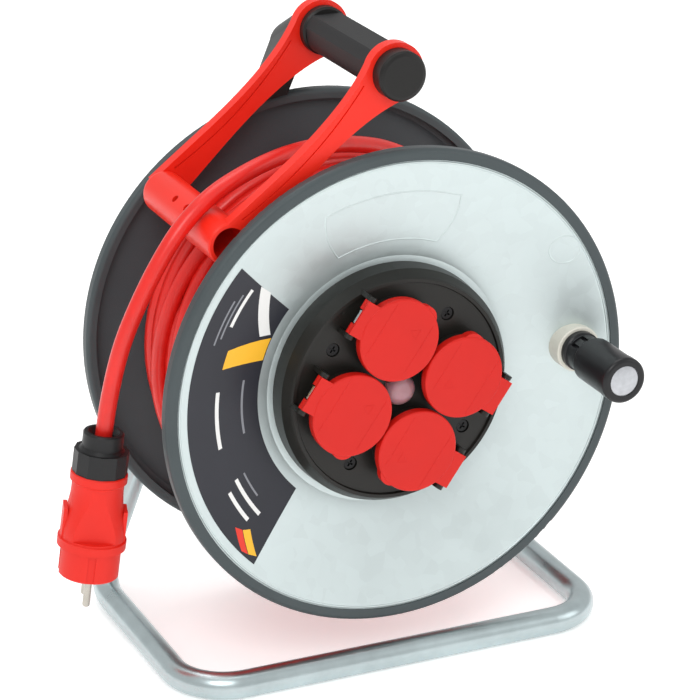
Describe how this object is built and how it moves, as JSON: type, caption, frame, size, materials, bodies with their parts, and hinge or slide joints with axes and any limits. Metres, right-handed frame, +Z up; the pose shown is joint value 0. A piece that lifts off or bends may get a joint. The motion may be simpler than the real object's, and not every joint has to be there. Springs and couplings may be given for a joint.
{
  "type": "extension cord reel",
  "caption": "Steel-drum extension cord reel on a bent tube stand, with lidded sockets in the drum face, a crank knob, a carrying grip, a cable guide and a plug on a free cable end.",
  "frame": {"origin": "on the ground, in the middle of the reel's box without its free cable end and plug", "axes": "+Z up, +Y from the sockets to the back, along the drum's axle, +X to the right seen from the sockets"},
  "size_m": [0.377, 0.2498, 0.416],
  "materials": {
    "zinc_plated_steel": "satin",
    "zinc_plated_screws": "satin",
    "black_screws": "semi-gloss",
    "black_plastic": "satin",
    "steel_rod": "satin",
    "black_grip": "matte",
    "red_plastic": "satin",
    "galvanised_sheet": "satin",
    "dark_coated_sheet": "satin",
    "grey_rim": "satin",
    "grey_core": "matte",
    "bush_plastic": "matte",
    "rubber_gland": "matte",
    "black_panel": "satin",
    "black_insert": "satin",
    "brass_contacts": "satin",
    "spring_bronze": "satin",
    "red_lid": "satin",
    "seal_rubber": "matte",
    "clear_button": "clear",
    "cutout_body": "matte",
    "cream_plastic": "satin",
    "black_knob": "semi-gloss",
    "silver_badge": "satin",
    "red_cable": "satin",
    "plug_rubber": "satin",
    "plug_nut": "satin",
    "plug_face": "satin",
    "nickel_pins": "polished"
  },
  "bodies": {
    "stand": {"stand_tube": "zinc_plated_steel", "axle_crossbar": "zinc_plated_steel", "axle": "zinc_plated_steel", "axle_bolt": "zinc_plated_screws", "head_front": "black_plastic", "head_rear": "black_plastic", "head_screws": "zinc_plated_screws", "grip_rod": "steel_rod", "grip": "black_grip", "grip_front_cap": "black_plastic", "grip_rear_collar": "black_plastic", "guide_front_arm": "red_plastic", "guide_rear_arm": "red_plastic", "guide_screw": "zinc_plated_screws", "cord_tail": "red_cable", "plug_body": "plug_rubber", "plug_gland_nut": "plug_nut", "plug_clamp": "rubber_gland", "plug_insert": "plug_face", "plug_pins": "nickel_pins", "plug_earth_clips": "spring_bronze"},
    "drum": {"hub_screws": "zinc_plated_screws", "panel_screws": "black_screws", "rear_hub": "black_plastic", "lid_pins": "steel_rod", "lid_springs": "steel_rod", "crank_spindle": "steel_rod", "front_disc": "galvanised_sheet", "rear_disc": "dark_coated_sheet", "front_rim": "grey_rim", "rear_rim": "grey_rim", "drum_core": "grey_core", "hub_bush": "bush_plastic", "core_gland": "rubber_gland", "socket_panel": "black_panel", "socket_insert_1": "black_insert", "socket_insert_2": "black_insert", "socket_insert_3": "black_insert", "socket_insert_4": "black_insert", "contact_sleeves": "brass_contacts", "earth_clips": "spring_bronze", "thermal_cutout": "cutout_body", "crank_base": "cream_plastic", "cord_winding": "red_cable"},
    "button": {"reset_button": "clear_button"},
    "crank": {"crank_knob": "black_knob", "crank_cap": "black_knob", "crank_badge": "silver_badge"},
    "lid_1_body": {"lid_1": "red_lid", "lid_seal_1": "seal_rubber"},
    "lid_2_body": {"lid_2": "red_lid", "lid_seal_2": "seal_rubber"},
    "lid_3_body": {"lid_3": "red_lid", "lid_seal_3": "seal_rubber"},
    "lid_4_body": {"lid_4": "red_lid", "lid_seal_4": "seal_rubber"}
  },
  "joints": [
    {"name": "drum_spin", "type": "hinge", "parent": "stand", "child": "drum", "pos_m": [0, 0.0469, 0.191], "axis": [0, 1, 0], "continuous": true},
    {"name": "crank_spin", "type": "hinge", "parent": "drum", "child": "crank", "pos_m": [0.128, -0.0881, 0.1994], "axis": [0, 1, 0], "continuous": true},
    {"name": "reset_push", "type": "slide", "parent": "drum", "child": "button", "axis": [0, 1, 0], "range_m": [0, 0.0015], "stiffness_N_per_m": 600, "springref_m": -0.002},
    {"name": "lid_1_hinge", "type": "hinge", "parent": "drum", "child": "lid_1_body", "pos_m": [0.06439, -0.0693, 0.1801], "axis": [0.5736, 0, 0.8192], "range_deg": [0, 110], "stiffness_Nm_per_rad": 0.012, "springref_deg": -34.38},
    {"name": "lid_2_hinge", "type": "hinge", "parent": "drum", "child": "lid_2_body", "pos_m": [-0.03227, -0.0693, 0.24778], "axis": [-0.5736, 0, -0.8192], "range_deg": [0, 110], "stiffness_Nm_per_rad": 0.012, "springref_deg": -34.38},
    {"name": "lid_3_hinge", "type": "hinge", "parent": "drum", "child": "lid_3_body", "pos_m": [-0.06439, -0.0693, 0.2019], "axis": [-0.5736, 0, -0.8192], "range_deg": [0, 110], "stiffness_Nm_per_rad": 0.012, "springref_deg": -34.38},
    {"name": "lid_4_hinge", "type": "hinge", "parent": "drum", "child": "lid_4_body", "pos_m": [0.03227, -0.0693, 0.13422], "axis": [0.5736, 0, 0.8192], "range_deg": [0, 110], "stiffness_Nm_per_rad": 0.012, "springref_deg": -34.38}
  ]
}
